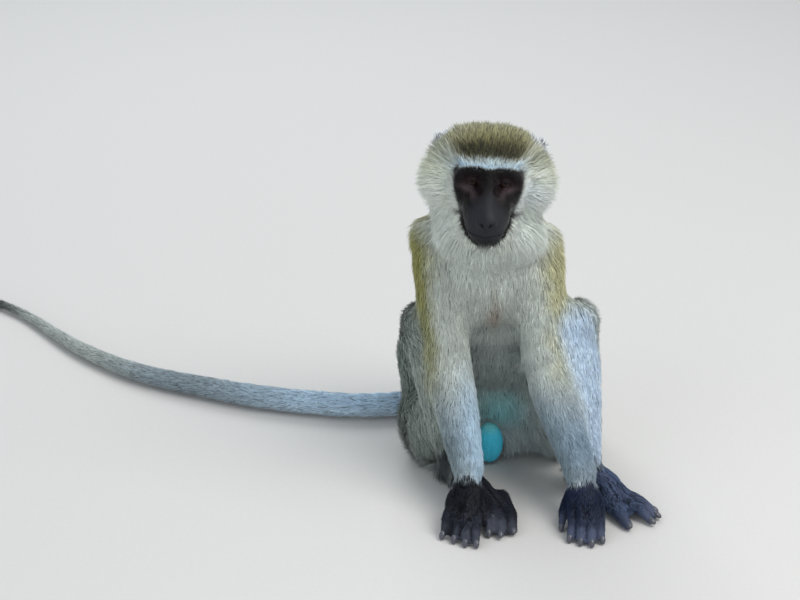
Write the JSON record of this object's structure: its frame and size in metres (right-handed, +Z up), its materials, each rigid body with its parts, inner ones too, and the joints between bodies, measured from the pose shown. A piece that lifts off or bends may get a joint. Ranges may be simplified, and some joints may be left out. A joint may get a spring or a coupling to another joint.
{
  "type": "seated vervet monkey figure",
  "caption": "Life-size still figure of an adult male vervet monkey sitting upright with both hands on the floor and its long tail laid out along the ground.",
  "frame": {"origin": "the seat: the middle of the haunches where they rest on the floor", "axes": "+Z up, the animal faces -Y, its own left is +X, and its tail lies along the floor towards -X"},
  "size_m": [0.7699, 0.5884, 0.3713],
  "materials": {
    "coat_pale": "long soft grizzled white hair, lying close",
    "coat_olive": "olive-yellow hair ringed with black",
    "coat_grey": "dark grey hair with pale tips",
    "coat_tail": "short close blue-grey hair",
    "black_skin": "soft black skin with short black hair",
    "eye": "wet dark brown eye",
    "blue_skin": "bare turquoise-blue skin"
  },
  "bodies": {
    "root": {"head": "coat_pale", "neck": "coat_pale", "chest": "coat_pale", "belly": "coat_pale", "pelvis": "coat_grey", "ear_right": "black_skin", "ear_left": "black_skin", "eye_right": "eye", "eye_left": "eye", "upper_arm_right": "coat_olive", "upper_arm_left": "coat_olive", "forearm_right": "coat_pale", "forearm_left": "coat_pale", "hand_right": "black_skin", "hand_left": "black_skin", "thigh_right": "coat_grey", "thigh_left": "coat_grey", "shin_right": "coat_grey", "shin_left": "coat_grey", "foot_right": "black_skin", "foot_left": "black_skin", "scrotum": "blue_skin", "tail_1": "coat_tail", "tail_2": "coat_tail", "tail_3": "coat_tail", "tail_4": "coat_tail", "tail_5": "coat_tail"}
  },
  "joints": []
}
